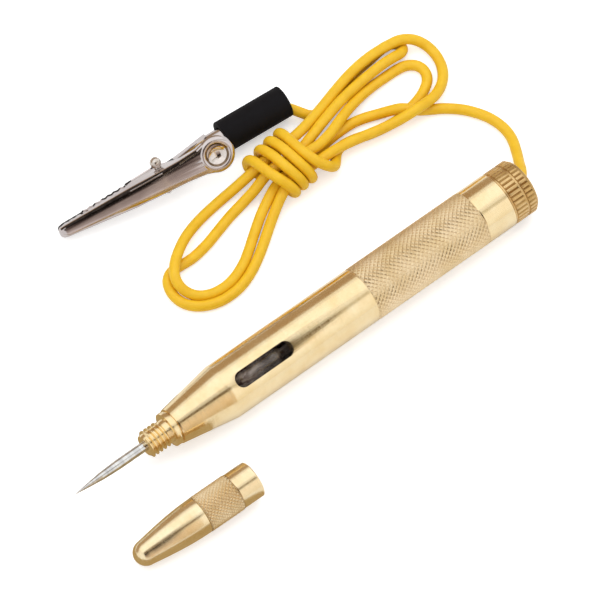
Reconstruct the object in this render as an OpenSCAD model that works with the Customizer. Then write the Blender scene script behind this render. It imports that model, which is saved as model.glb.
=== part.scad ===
/* [Barrel] */
// Outside diameter of the barrel
body_d = 12.5; // [11.6:0.1:15]
// Length of the straight barrel, from the cone to the end cap
body_len = 73.2; // [68:0.2:90]
// Length of the cone in front of the barrel
cone_len = 13; // [8:0.5:20]
// Diameter at the small end of the cone
cone_tip_d = 8.2; // [7.8:0.1:9.4]
// Diameter of the bore that holds the lamp and the spring
bore_d = 9; // [8.6:0.1:9.4]
// Length of the knurled grip
grip_len = 29.4; // [15:0.5:36]
// Plain length between the grip and the end cap
grip_gap = 7; // [3:0.5:12]
// Height of the knurl above the barrel
knurl_rise = 0.15; // [0.05:0.05:0.3]

/* [Nose] */
// Outside diameter of the nose thread
nose_d = 6; // [5:0.1:6.4]
// Distance from crest to crest of the nose thread
nose_pitch = 1; // [0.7:0.05:1]
// Length of the nose thread
nose_thread_len = 4.6; // [4:0.2:7]
// Length of the plain neck behind the thread
neck_len = 1.4; // [1:0.1:3]
// Diameter of the plain neck
neck_d = 5.4; // [4.2:0.1:5.8]
// Diameter of the collar at the foot of the cone
collar_d = 7.8; // [7:0.1:8.2]
// Width of that collar
collar_w = 1; // [0.6:0.1:2]
// Width of the groove between the collar and the cone
collar_groove_w = 0.4; // [0.2:0.1:0.6]

/* [Window] */
// Length of the window
window_len = 14.7; // [12:0.1:18]
// Width of the window
window_w = 3.6; // [3:0.1:5]
// Distance from the cone's edge to the window
window_gap = 1.6; // [1:0.1:3]
// Turn of the window away from straight up
window_roll = 26; // [0:1:90]

/* [Needle] */
// Diameter of the needle's shank
needle_d = 2.1; // [1.6:0.1:2.6]
// Length of needle that stands out of the nose
needle_out = 18; // [14:0.5:20]
// Length of the ground taper
needle_taper = 11; // [6:0.5:13]
// Length of needle pressed into the nose
needle_in = 12; // [8:0.5:16]

/* [End cap] */
// Outside diameter of the end cap
end_cap_d = 12.4; // [11.6:0.1:15]
// Length of the end cap behind the seam
end_cap_len = 6.4; // [5:0.2:10]
// Number of flutes round the end cap
flutes = 36; // [24:1:48]
// Depth of each flute
flute_depth = 0.32; // [0.2:0.02:0.5]
// Diameter of the end cap's threaded spigot
spigot_d = 9.5; // [9.2:0.1:9.9]
// Length of that spigot
spigot_len = 5; // [4:0.2:7]

/* [Nose cap] */
// Diameter over the nose cap's knurl
cap_d = 8.5; // [7.8:0.1:10]
// Diameter of the plain rim
cap_rim_d = 8.1; // [7.4:0.1:8.4]
// Length of the plain rim
cap_rim_len = 5; // [2:0.2:7]
// Length of the knurled band
cap_band_len = 8.8; // [5:0.2:12]
// Length of the taper, tip included
cap_taper_len = 16.6; // [14:0.2:22]
// Radius of the round tip
cap_tip_r = 2.8; // [2.2:0.1:3.4]
// Diameter of the hole over the needle
cap_hole_d = 3.2; // [2.8:0.1:4]

/* [Lamp] */
// Diameter of the glass
glass_d = 6; // [5:0.1:6.2]
// Length of glass in front of the lamp's base
glass_len = 14; // [12.8:0.1:14.6]
// Wall of the glass
glass_wall = 0.4; // [0.3:0.05:0.6]
// Diameter of the lamp's base
base_d = 6.4; // [6.3:0.1:6.8]
// Length of the lamp's base
base_len = 8.4; // [7:0.2:11]

/* [Clip] */
// Thickness of the pressed sheet
sheet = 0.6; // [0.4:0.05:0.7]
// Length of the jaws in front of the pin
jaw_len = 24.4; // [20:0.2:32]
// Half width of the jaws at the nose
jaw_nose_hw = 1.35; // [1.2:0.05:1.7]
// Half width of the upper jaw at the pin
jaw_pin_hw = 2.5; // [2.3:0.05:2.8]
// Height of the upper jaw's top over the pin
jaw_top = 3.1; // [2.9:0.1:3.6]
// Diameter over the thumb pad's rim
pad_d = 8; // [7.2:0.1:8.6]
// Distance from the pin to the middle of the pad
pad_x = 12; // [11:0.1:14]
// Diameter of the pin
pin_d = 1.5; // [1.2:0.1:1.8]
// Number of teeth in each jaw
teeth = 10; // [6:1:12]
// Outside diameter of the sleeve
sleeve_d = 7; // [6.4:0.1:8]
// Length of the sleeve
sleeve_len = 15.6; // [13:0.1:18]
// Distance from the pin down to the middle of the sleeve
sleeve_drop = 5.3; // [4.8:0.1:5.6]

/* [Lead] */
// Diameter of the lead
lead_d = 2.3; // [1.8:0.1:2.6]

/* [Hidden] */
$fn = 64;
brass = "#d9b36a";
bright_brass = "#e6c684";
steel = "#c3bdbb";
black = "#1b191f";
yellow = "#f7c52e";
eps = 0.01;

// Clearances: a turning fit, a fit slid in by hand, a pressed fit and two faces that only meet
turn_gap = 0.05;
slide_gap = 0.1;
press_gap = 0.02;
seat_gap = 0.05;

// The barrel line lies on its widest ring, with its axis along X and the end cap's rear face at rear_x
rear_x = 59;
axis_y = 8.5;
body_r = body_d / 2;
grip_r = body_r + knurl_rise;
end_cap_r = end_cap_d / 2;
axis_z = max(grip_r, end_cap_r);
seam_x = rear_x - end_cap_len;
cone_x1 = seam_x - body_len;
cone_x0 = cone_x1 - cone_len;
collar_x1 = cone_x0 - collar_groove_w;
collar_x0 = collar_x1 - collar_w;
thread_x1 = collar_x0 - neck_len;
thread_x0 = thread_x1 - nose_thread_len;
tip_x = thread_x0 - needle_out;
grip_x1 = seam_x - grip_gap;
grip_x0 = grip_x1 - grip_len;
nose_r = nose_d / 2;
neck_r = neck_d / 2;
collar_r = collar_d / 2;
cone_tip_r = cone_tip_d / 2;
thread_depth = 0.54 * nose_pitch;
needle_r = needle_d / 2;
edge = 0.3;

// Lamp, behind the window
bore_r = bore_d / 2;
window_x0 = cone_x1 + window_gap;
window_x1 = window_x0 + window_len;
bore_past = 1.2;
bore_x0 = window_x0 - bore_past;
drill_angle = 59;
base_gap = 0.5;
base_x0 = window_x1 + base_gap;
base_x1 = base_x0 + base_len;
base_r = base_d / 2;
base_wall = 0.35;
glass_r = glass_d / 2;
glass_x0 = base_x0 - glass_len;
glass_neck_r = 2.2;
glass_neck_len = 1.6;
glass_shoulder_len = 2.2;
glass_in = 3;
holder_x0 = base_x0 + 0.8;
holder_len = 5.2;
flange_x = holder_x0 + holder_len + seat_gap;
flange_w = 0.8;
flange_r = bore_r - 6 * slide_gap;
insulator_w = 0.8;
insulator_in = 1.2;
insulator_r = 2.3;
contact_h = 0.6;
contact_r = 1.2;
contact_foot_r = 0.5;
contact_x = base_x1 + insulator_w + contact_h;
stem_r = glass_neck_r - glass_wall - seat_gap;
stem_len = 3;
stem_tip_r = 1.3;
stem_taper_len = 1.4;
post_r = 0.2;
post_y = 0.9;
post_out = 8;
post_end = 0.8;
post_x0 = base_x0 - post_out;
filament_r = 0.12;

// Contact stack between the lamp and the end cap, in its liner
liner_x0 = flange_x + flange_w + seat_gap;
liner_r = bore_r - slide_gap;
liner_wall = 0.7;
liner_bore_r = liner_r - liner_wall;
disc_r = liner_bore_r - slide_gap;
disc_w = 1;
boss_r = 1.8;
boss_len = 3;
wire_r = 0.28;
coil_r = 2.5;
coil_turns = 9;
coil_len = 20;
plunger_x0 = contact_x + seat_gap;
coil_x0 = plunger_x0 + disc_w + seat_gap;
coil_x1 = coil_x0 + coil_len;
terminal_x = coil_x1 + seat_gap + disc_w;
crimp_len = 6;
crimp_r = 1.7;
crimp_floor = 0.5;
spigot_x = seam_x - spigot_len;
spigot_r = spigot_d / 2;
plug_x0 = terminal_x + crimp_len + seat_gap;
plug_x1 = spigot_x - seat_gap;
plug_flange_w = 1.3;
liner_x1 = plug_x1 - plug_flange_w - seat_gap;
lead_r = lead_d / 2;
lead_hole_r = lead_r + 0.1;
end_hole_r = lead_r + 0.4;
flare_depth = 2.4;
flare_r = 3.7;

// The nose cap lies beside the needle and rests on its band and its taper
cap_r = cap_d / 2;
cap_rim_r = cap_rim_d / 2;
cap_len = cap_taper_len + cap_band_len + cap_rim_len;
cap_taper_end_r = cap_r - 0.1;
cap_mouth_r = nose_r + slide_gap;
cap_mouth_len = neck_len + 0.3;
cap_tapped_r = nose_r - thread_depth;
cap_tapped_len = nose_thread_len + 0.4;
cap_hole_r = cap_hole_d / 2;
cap_hole_len = nose_thread_len + neck_len + needle_out + 1;
cap_at = [-41.1, -10.4, 0];
cap_edge = 0.15;
cap_yaw = -1.8;
taper_span = cap_taper_len - cap_tip_r;
function taper_r(u) = cap_tip_r + (cap_taper_end_r - cap_tip_r) * sin(90 * u);
cap_pitch = min([for (u = [0.1:0.1:0.9]) atan((cap_r - taper_r(u)) / ((1 - u) * taper_span + cap_edge))]);

// The clip lies rolled over on its sleeve and its nose; in its own frame the pin is the Y axis, the pad is behind it
clip_roll = 46;
clip_pitch = 7;
clip_yaw = -10.5;
clip_x = 2;
clip_y = 56.7;
sleeve_r = sleeve_d / 2;
sleeve_x = pad_x + 3.6;
sleeve_tilt = 7;
clip_z = sleeve_r - sleeve_x * sin(clip_pitch) + sleeve_drop * cos(clip_roll) * cos(clip_pitch);
pin_r = pin_d / 2;
pin_head_r = 1.3;
pin_head_h = 0.8;
pin_end_y = -3.4;
pin_head_y = 4.6;
lower_hw = jaw_pin_hw - sheet - slide_gap;
nose_top = 1.7;
nose_depth = 1.5;
lower_depth = 2.8;
fold_r = 0.7;
tooth_h = 0.6;
tooth_pitch = 1.5;
tooth_gap = 0.08;
teeth_x0 = -jaw_len + 1.2;
ear_x = teeth_x0 + teeth * tooth_pitch + 0.5;
pad_r = pad_d / 2;
dish_r = 2.6;
dish_depth = 1.2;
skirt = 0.8;
handle_x = sleeve_x - 3;
handle_z = -sleeve_drop + 0.4;
sleeve_bore_r = 2.2;
crimp_in = 11;
grip_wire_r = 0.25;
grip_coil_r = 1.2;
grip_turns = 3;
grip_coil_step = 0.55;
grip_arm = 7;
grip_arm_drop = 0.7;

// Middle line of the lead from its terminal to the upper loops, where it lies free
run_straight = [for (x = [terminal_x + 2 * crimp_floor, rear_x - 5, rear_x - 2.4]) [x, axis_y, axis_z]];
run_free = [
    [58.4, 9, 6.4], [60, 10.2, 6.2], [61.2, 11.8, 5.5], [62.4, 13.8, 4.2], [63.8, 16.2, 2.6], [65.2, 18.8, 1.5],
    [66.2, 21.6, lead_r], [66.4, 24.8, lead_r], [65.4, 28.6, lead_r], [62.8, 32.4, lead_r], [58.8, 35.7, lead_r],
    [54.6, 38.8, lead_r]
];
run_route = concat(run_straight, run_free);
// Middle line of the band of strands on each side of the wraps, and half its width at each of those points
upper_route = [
    [28, 46.4], [36.2, 47.2], [42.1, 48.9], [48, 50.3], [54.3, 51.3], [59.3, 51.2], [63, 49], [64.2, 45],
    [61.8, 41.2], [57.2, 39.3], [50.8, 39.4], [44.9, 40.6], [37.5, 41.2], [28.8, 41.2]
];
upper_halves = [2.5, 3.1, 3.6, 3.6, 3.7, 3.8, 3.8, 3.2, 2.9, 2.8, 2.7, 2.8, 2.5, 2.4];
lower_route = [
    [21, 46.4], [14.4, 45.3], [6.8, 44.3], [1.1, 42.8], [-4.4, 41], [-9, 38.6], [-11.1, 34.9], [-9.6, 31.6],
    [-6, 29.4], [-1.2, 29.1], [4.9, 31.3], [9.1, 34], [14, 37.5], [19.6, 40.4]
];
lower_halves = [2.4, 3.1, 3.5, 3.4, 2.8, 2.3, 2.3, 2.3, 2.3, 2.3, 2.3, 2.3, 2.3, 2.3];
band_hh = lead_d;
wraps_at = [24.1, 42.9, 4];
wraps_turn = 13;
wraps_len = 13;
wraps_hw = 7.8;
// Middle line of the lead from the upper loops to the sleeve of the clip
tail_free = [[41.6, 50, 2], [39.2, 50.6, 2.1], [37, 52.6, 2.6], [35.2, 54.6, 3.2]];

function turned_x(p, a) = [p.x, p.y * cos(a) - p.z * sin(a), p.y * sin(a) + p.z * cos(a)];
function turned_y(p, a) = [p.x * cos(a) + p.z * sin(a), p.y, p.z * cos(a) - p.x * sin(a)];
function turned_z(p, a) = [p.x * cos(a) - p.y * sin(a), p.x * sin(a) + p.y * cos(a), p.z];
// A point of the clip's own frame, and one on the sleeve's axis at u from its front, in the part's frame
function clip_point(p) =
    [clip_x, clip_y, clip_z] + turned_z(turned_y(turned_x(p, clip_roll), -clip_pitch), clip_yaw);
function sleeve_point(u) =
    clip_point([sleeve_x + u * cos(sleeve_tilt), 0, -sleeve_drop - u * sin(sleeve_tilt)]);
tail_route = concat(tail_free, [for (u = [sleeve_len, crimp_in - 2, 2]) sleeve_point(u)]);

// One closed tube with oval rings of eight sides on its route's points, its half width hw, or hws point by point;
// the route is never upright
module tube(route, hw, hh, hws = [], sides = 8) {
    last = len(route) - 1;
    halves = len(hws) > last ? hws : [for (i = [0:last]) hw];
    rings = [for (i = [0:last])
        let(
            along = route[min(i + 1, last)] - route[max(i - 1, 0)],
            side = cross([0, 0, 1], along) / norm(cross([0, 0, 1], along)),
            up = cross(along, side) / norm(along)
        )
        [for (k = [0:sides - 1])
            let(a = 360 * (k + 0.5) / sides) route[i] + side * halves[i] * cos(a) + up * hh * sin(a)]
    ];
    polyhedron(
        points = [for (ring = rings, p = ring) p],
        faces = concat(
            [[for (k = [0:sides - 1]) k]],
            [for (i = [0:last - 1], k = [0:sides - 1])
                let(next = (k + 1) % sides, near = i * sides, far = near + sides)
                each [[near + k, far + k, far + next], [near + k, far + next, near + next]]],
            [[for (k = [sides - 1:-1:0]) last * sides + k]]
        )
    );
}

// A solid turned about the X axis through stations of [x, radius]
module turned(stations) {
    ends = [[0, stations[0].x], [0, stations[len(stations) - 1].x]];
    rotate([0, 90, 0])
        rotate_extrude()
            polygon(concat([ends[0]], [for (s = stations) [s.y, s.x]], [ends[1]]));
}

// A round rod or hole along X
module rod(x0, x1, r) {
    translate([x0, 0, 0])
        rotate([0, 90, 0])
            cylinder(r = r, h = x1 - x0);
}

module on_axis() {
    translate([0, axis_y, axis_z])
        children();
}

module barrel() {
    knurl_slope = 0.4;
    on_axis()
        difference() {
            turned([
                [thread_x0, nose_r - thread_depth],
                [thread_x0 + thread_depth, nose_r],
                [thread_x1, nose_r],
                [thread_x1 + eps, neck_r],
                [collar_x0, neck_r],
                [collar_x0 + eps, collar_r],
                [collar_x1, collar_r],
                [collar_x1 + eps, collar_r - edge],
                [cone_x0, collar_r - edge],
                [cone_x0 + eps, cone_tip_r],
                [cone_x1, body_r],
                [grip_x0, body_r],
                [grip_x0 + knurl_slope, grip_r],
                [grip_x1 - knurl_slope, grip_r],
                [grip_x1, body_r],
                [seam_x - edge / 2, body_r],
                [seam_x, body_r - edge / 2]
            ]);
            turned([
                [bore_x0 - bore_r / tan(drill_angle), eps],
                [bore_x0, bore_r],
                [spigot_x - 0.5, bore_r],
                [spigot_x, spigot_r + turn_gap],
                [seam_x + 1, spigot_r + turn_gap]
            ]);
            rod(thread_x0 - 1, thread_x0 + needle_in + seat_gap, needle_r + press_gap);
            rotate([window_roll, 0, 0])
                window_cut();
        }
}

// An obround cutter with round ends, upright through one wall
module window_cut() {
    r = window_w / 2;
    translate([0, -r, 0])
        translate([window_x0 + r, 0, 0])
            cube([window_len - window_w, window_w, body_r + 1]);
    for (x = [window_x0 + r, window_x1 - r])
        translate([x, 0, 0])
            cylinder(r = r, h = body_r + 1);
}

module needle() {
    on_axis()
        turned([
            [tip_x, 0.08],
            [tip_x + 0.25 * needle_taper, 0.4 * needle_r],
            [tip_x + 0.6 * needle_taper, 0.8 * needle_r],
            [tip_x + needle_taper, needle_r],
            [thread_x0 + needle_in - edge, needle_r],
            [thread_x0 + needle_in, needle_r - edge]
        ]);
}

module end_cap() {
    ring_x = [seam_x + 0.5, seam_x + 0.5 * end_cap_len, seam_x + 0.58 * end_cap_len, rear_x - 0.9];
    root_r = end_cap_r - flute_depth;
    outline = [for (i = [0:flutes - 1], s = [[-0.27, end_cap_r], [0.27, end_cap_r], [0.5, root_r]])
        let(a = 360 * (i + s.x) / flutes) s.y * [cos(a), sin(a)]];
    on_axis()
        difference() {
            union() {
                turned([
                    [spigot_x, spigot_r - edge],
                    [spigot_x + edge, spigot_r],
                    [seam_x + seat_gap, spigot_r],
                    [seam_x + seat_gap + eps, root_r],
                    [rear_x - 0.8, root_r],
                    [rear_x - 0.25, root_r - 0.3],
                    [rear_x, root_r - 0.9]
                ]);
                for (i = [0, 2])
                    translate([ring_x[i], 0, 0])
                        rotate([0, 90, 0])
                            linear_extrude(height = ring_x[i + 1] - ring_x[i])
                                polygon(outline);
            }
            rod(spigot_x - 1, rear_x, end_hole_r);
            turned([
                [rear_x - flare_depth, end_hole_r],
                [rear_x - 0.5 * flare_depth, 1.6 * end_hole_r],
                [rear_x + eps, flare_r]
            ]);
        }
}

// The nose cap in its own frame, with its tip at the origin and its mouth along X
module nose_cap_shape() {
    cut_x = cap_len - cap_mouth_len - cap_tapped_len;
    difference() {
        turned(concat(
            [for (a = [5:12:89]) [cap_tip_r * (1 - cos(a)), cap_tip_r * sin(a)]],
            [for (u = [0:0.1:1]) [cap_tip_r + u * taper_span, taper_r(u)]],
            [
                [cap_taper_len + cap_edge, cap_r],
                [cap_taper_len + cap_band_len - cap_edge, cap_r],
                [cap_taper_len + cap_band_len, cap_rim_r],
                [cap_len - edge, cap_rim_r],
                [cap_len, cap_rim_r - edge]
            ]
        ));
        turned([
            [cap_len - cap_hole_len - cap_hole_r / tan(drill_angle), eps],
            [cap_len - cap_hole_len, cap_hole_r],
            [cut_x, cap_hole_r],
            [cut_x + eps, cap_tapped_r],
            [cap_len - cap_mouth_len, cap_tapped_r],
            [cap_len - cap_mouth_len + eps, cap_mouth_r],
            [cap_len + 1, cap_mouth_r]
        ]);
    }
}

module nose_cap() {
    translate(cap_at)
        rotate([0, -cap_pitch, cap_yaw])
            translate([-cap_taper_len - cap_edge, 0, cap_r])
                nose_cap_shape();
}

module lamp_glass() {
    neck_x = base_x0 - glass_neck_len;
    shoulder_x = neck_x - glass_shoulder_len;
    on_axis()
        difference() {
            glass_body(glass_x0, shoulder_x, neck_x, glass_r, glass_neck_r, 0);
            glass_body(glass_x0 + glass_wall, shoulder_x, neck_x, glass_r - glass_wall, glass_neck_r - glass_wall, 1);
        }
}

// A bulb with a round front, a straight side and a narrower neck
module glass_body(x0, shoulder_x, neck_x, r, neck_r, past) {
    turned(concat(
        [for (a = [4:12:88]) [x0 + r * (1 - cos(a)), r * sin(a)]],
        [
            [x0 + r, r],
            [shoulder_x, r],
            [shoulder_x + 0.6, r - 0.12],
            [neck_x - 0.6, neck_r + 0.12],
            [neck_x, neck_r],
            [base_x0 + glass_in + past, neck_r]
        ]
    ));
}

module lamp_base() {
    on_axis()
        difference() {
            union() {
                turned([
                    [base_x0, base_r - edge],
                    [base_x0 + edge, base_r],
                    [base_x1, base_r]
                ]);
                rod(flange_x, flange_x + flange_w, flange_r);
            }
            rod(base_x0 + base_wall, base_x1 + 1, base_r - base_wall);
            rod(base_x0 - 1, base_x1, glass_neck_r + seat_gap);
        }
}

module lamp_insulator() {
    seat_r = base_r - base_wall - press_gap;
    on_axis()
        difference() {
            turned([
                [base_x1 - insulator_in, seat_r],
                [base_x1, seat_r],
                [base_x1 + eps, insulator_r],
                [base_x1 + insulator_w, insulator_r - edge]
            ]);
            rod(base_x1 - insulator_in - 1, base_x1 + 1, contact_foot_r);
        }
}

// The drop of solder in the middle of the insulator
module lamp_contact() {
    x = base_x1 + insulator_w + press_gap;
    on_axis()
        turned([
            [base_x1 - 0.5 * insulator_in, contact_foot_r - press_gap],
            [x, contact_foot_r - press_gap],
            [x + eps, contact_r],
            [x + 0.3, 0.85 * contact_r],
            [contact_x - 0.08, 0.5 * contact_r],
            [contact_x, 0.2]
        ]);
}

module lamp_stem() {
    on_axis()
        difference() {
            turned([
                [base_x0 - stem_len, stem_tip_r],
                [base_x0 - stem_len + stem_taper_len, stem_r],
                [base_x0 + glass_in, stem_r]
            ]);
            for (y = [-post_y, post_y])
                translate([0, y, 0])
                    rod(base_x0 - stem_len - 1, base_x0 + glass_in + 1, post_r + press_gap);
        }
}

module lamp_posts() {
    on_axis()
        for (y = [-post_y, post_y])
            translate([0, y, 0])
                rod(post_x0, base_x0 + glass_in + post_end, post_r);
}

// A fine arch of wire from one post to the other
module lamp_filament() {
    on_axis()
        translate([post_x0 - press_gap, 0, 0])
            rotate([0, 0, 90])
                rotate_extrude(angle = 180)
                    translate([post_y, 0])
                        circle(r = filament_r, $fn = 16);
}

module lamp_holder() {
    on_axis()
        difference() {
            rod(holder_x0, holder_x0 + holder_len, bore_r - press_gap);
            rod(holder_x0 - 1, holder_x0 + holder_len + 1, base_r + slide_gap);
        }
}

module contact_plunger() {
    on_axis() {
        rod(plunger_x0, plunger_x0 + disc_w, disc_r);
        rod(plunger_x0, plunger_x0 + disc_w + boss_len, boss_r);
    }
}

module contact_spring() {
    step = 24;
    rise = (coil_len - 2 * wire_r) / (coil_turns * 360);
    on_axis()
        translate([coil_x0 + wire_r, 0, 0])
            rotate([0, 90, 0])
                tube(
                    [for (a = [0:step:coil_turns * 360]) [coil_r * cos(a), coil_r * sin(a), rise * a]],
                    wire_r, wire_r, sides = 6
                );
}

module insulating_liner() {
    on_axis()
        difference() {
            rod(liner_x0, liner_x1, liner_r);
            rod(liner_x0 - 1, liner_x1 + 1, liner_bore_r);
        }
}

module lead_terminal() {
    on_axis()
        difference() {
            union() {
                rod(terminal_x - disc_w, terminal_x, disc_r);
                rod(terminal_x - disc_w - boss_len, terminal_x, boss_r);
                rod(terminal_x, terminal_x + crimp_len, crimp_r);
            }
            rod(terminal_x + crimp_floor, terminal_x + crimp_len + 1, lead_r + press_gap);
        }
}

module rear_plug() {
    on_axis()
        difference() {
            union() {
                rod(plug_x0, plug_x1, disc_r);
                rod(liner_x1 + seat_gap, plug_x1, liner_r);
            }
            rod(plug_x0 - 1, plug_x1 + 1, lead_hole_r);
        }
}

module lead_run() {
    tube(run_route, lead_r, lead_r);
}

module lead_upper_loops() {
    tube([for (p = upper_route) [p.x, p.y, band_hh]], band_hh, band_hh, upper_halves);
}

module lead_lower_loops() {
    tube([for (p = lower_route) [p.x, p.y, band_hh]], band_hh, band_hh, lower_halves);
}

// The turns of lead round the middle of the bundle, as one flat block with round sides
module lead_wraps() {
    h = wraps_at.z;
    translate(wraps_at)
        rotate([0, 0, wraps_turn])
            rotate([90, 0, 90])
                translate([0, 0, -wraps_len / 2])
                    linear_extrude(height = wraps_len) {
                        square([2 * (wraps_hw - h), 2 * h], center = true);
                        for (y = [-1, 1])
                            translate([y * (wraps_hw - h), 0])
                                circle(r = h);
                    }
}

module lead_tail() {
    tube(tail_route, lead_r, lead_r);
}

module in_clip() {
    translate([clip_x, clip_y, clip_z])
        rotate([clip_roll, -clip_pitch, clip_yaw])
            children();
}

// The sleeve's frame, with its axis along X from its front face
module in_sleeve() {
    translate([sleeve_x, 0, -sleeve_drop])
        rotate([0, sleeve_tilt, 0])
            children();
}

// A side view in X and Z, given the clip's full depth along Y
module side_view(points) {
    rotate([90, 0, 0])
        translate([0, 0, -10])
            linear_extrude(height = 20)
                polygon(points);
}

module across_pin(r, half) {
    rotate([90, 0, 0])
        cylinder(r = r, h = 2 * half, center = true);
}

// The zigzag where the two rows of teeth meet, from the pin end to the nose
teeth_line = [for (i = [2 * teeth:-1:0]) [teeth_x0 + i * tooth_pitch / 2, (i % 2 == 0 ? 1 : -1) * tooth_h / 2]];

// A closed solid through sections of [x, half width, top], its upper corners rounded, inset by the given wall
module pressed(sections, inset, foot) {
    corner = [for (a = [0:30:90]) [sin(a), cos(a)]];
    count = 2 * len(corner) + 2;
    last = len(sections) - 1;
    rings = [for (s = sections)
        let(hw = s.y - inset, top = s.z - inset, r = min(fold_r - inset / 2, 0.7 * hw))
        concat(
            [[s.x, -hw, foot]],
            [for (i = [3:-1:0]) [s.x, -(hw - r + r * corner[i].x), top - r + r * corner[i].y]],
            [for (i = [0:3]) [s.x, hw - r + r * corner[i].x, top - r + r * corner[i].y]],
            [[s.x, hw, foot]]
        )];
    polyhedron(
        points = [for (ring = rings, p = ring) p],
        faces = concat(
            [[for (k = [count - 1:-1:0]) k]],
            [for (i = [0:last - 1], k = [0:count - 1])
                let(next = (k + 1) % count, near = i * count, far = near + count)
                each [[near + k, near + next, far + next], [near + k, far + next, far + k]]],
            [[for (k = [0:count - 1]) last * count + k]]
        )
    );
}

// The pressed sheet of a jaw, closed at the nose and open at its foot
module jaw_sheet(sections) {
    last = sections[len(sections) - 1];
    difference() {
        pressed(sections, 0, -5);
        pressed(
            concat(
                [for (s = sections) [max(s.x, -jaw_len + sheet + (s.x + jaw_len) / 10), s.y, s.z]],
                [[last.x + 1, last.y, last.z]]
            ),
            sheet, -6
        );
    }
}

function jaw_sections(nose_z, pin_hw, pin_z) = [
    [-jaw_len, 0.6 * jaw_nose_hw, 0.6 * nose_z],
    [-jaw_len + 0.4, 0.85 * jaw_nose_hw, 0.85 * nose_z],
    [-jaw_len + 1.4, jaw_nose_hw, nose_z],
    [ear_x, 0.15 * jaw_nose_hw + 0.85 * pin_hw, 0.2 * nose_z + 0.8 * pin_z],
    [0, pin_hw, pin_z]
];

module clip_upper_jaw() {
    half_gap = [0, tooth_gap / 2];
    in_clip()
        difference() {
            union() {
                intersection() {
                    jaw_sheet(concat(
                        jaw_sections(nose_top, jaw_pin_hw, jaw_top),
                        [
                            [4, jaw_pin_hw + 0.1, jaw_top],
                            [pad_x - 3.6, jaw_pin_hw + 0.5, jaw_top],
                            [pad_x - 2, pad_r - 0.5, jaw_top]
                        ]
                    ));
                    side_view(concat(
                        [[-jaw_len - 1, jaw_top + 1], [pad_x, jaw_top + 1], [pad_x, jaw_top - skirt - 0.3]],
                        [[5, 1.2], [2.4, -0.6], [1.2, -1.5], [-1.2, -1.5], [ear_x + 1.6, -0.9]],
                        [[ear_x, -0.5], [ear_x - 0.1, tooth_gap / 2]],
                        [for (p = teeth_line) p + half_gap],
                        [[-jaw_len - 1, tooth_gap / 2]]
                    ));
                }
                translate([pad_x, 0, jaw_top])
                    thumb_pad();
            }
            across_pin(pin_r + turn_gap, 6);
            translate([pad_x, 0, jaw_top])
                dish_cutter();
        }
}

dish = [for (u = [0:0.2:1]) [dish_r * u, -dish_depth * (1 - u * u)]];

// A round dish with a rolled rim and a short skirt, the jaw's top at its zero height
module thumb_pad() {
    rotate_extrude()
        polygon(concat(
            dish,
            [[dish_r + 0.3, 0.22], [dish_r + 0.6, 0.2], [pad_r - 0.4, -0.1], [pad_r - 0.1, -0.4], [pad_r, -skirt]],
            [[pad_r - sheet, -skirt], [pad_r - sheet - 0.2, -sheet], [dish_r + 0.3, -sheet]],
            [for (i = [5:-1:0]) [dish[i].x, dish[i].y - sheet]]
        ));
}

module dish_cutter() {
    rotate_extrude()
        polygon(concat(dish, [[dish_r, 1], [0, 1]]));
}

module clip_lower_jaw() {
    half_gap = [0, tooth_gap / 2];
    in_clip()
        difference() {
            union() {
                intersection() {
                    mirror([0, 0, 1])
                        jaw_sheet(concat(
                            jaw_sections(nose_depth, lower_hw, lower_depth),
                            [
                                [4, lower_hw + 0.1, lower_depth + 0.9],
                                [8, lower_hw + 0.3, lower_depth + 2.2],
                                [handle_x, sleeve_bore_r, sleeve_bore_r - handle_z]
                            ]
                        ));
                    side_view(concat(
                        [[-jaw_len - 1, -9], [handle_x, -9], [handle_x, handle_z + 0.4], [7, -2.4], [4, -1]],
                        [[2, 1], [0.8, 1.6], [-0.8, 1.6], [-2.4, 0.7], [ear_x - 0.1, -tooth_gap / 2]],
                        [for (p = teeth_line) p - half_gap],
                        [[-jaw_len - 1, -tooth_gap / 2]]
                    ));
                }
                in_sleeve()
                    rod(handle_x - sleeve_x - 0.2, crimp_in, sleeve_bore_r - press_gap);
            }
            across_pin(pin_r + press_gap, 6);
            in_sleeve()
                rod(handle_x - sleeve_x - 1.5, crimp_in + 1, lead_hole_r);
        }
}

module clip_pin() {
    in_clip()
        rotate([-90, 0, 0]) {
            translate([0, 0, pin_end_y])
                cylinder(r = pin_r, h = pin_head_y - pin_head_h - pin_end_y);
            translate([0, 0, pin_head_y - pin_head_h])
                cylinder(r = pin_head_r, h = 0.5 * pin_head_h);
            translate([0, 0, pin_head_y - 0.5 * pin_head_h])
                cylinder(r1 = pin_head_r, r2 = 0.6 * pin_head_r, h = 0.5 * pin_head_h);
        }
}

module clip_spring() {
    step = 30;
    start = 98;
    stop = 253 + grip_turns * 360;
    half = grip_coil_step * (stop - start) / 720;
    coil = [for (a = [start:step:stop])
        [grip_coil_r * cos(a), grip_coil_r * sin(a), grip_coil_step * (a - start) / 360 - half]];
    in_clip()
        rotate([90, 0, 0])
            tube(
                concat(
                    [[grip_arm, jaw_top - sheet - grip_wire_r - seat_gap, -half]],
                    coil,
                    [[grip_arm, -lower_depth - grip_arm_drop, half]]
                ),
                grip_wire_r, grip_wire_r, sides = 6
            );
}

module clip_sleeve() {
    in_clip()
        in_sleeve()
            difference() {
                turned([
                    [0, sleeve_r - edge],
                    [edge, sleeve_r],
                    [sleeve_len - edge, sleeve_r],
                    [sleeve_len, sleeve_r - edge]
                ]);
                rod(-1, sleeve_len + 1, sleeve_bore_r);
            }
}

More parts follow.
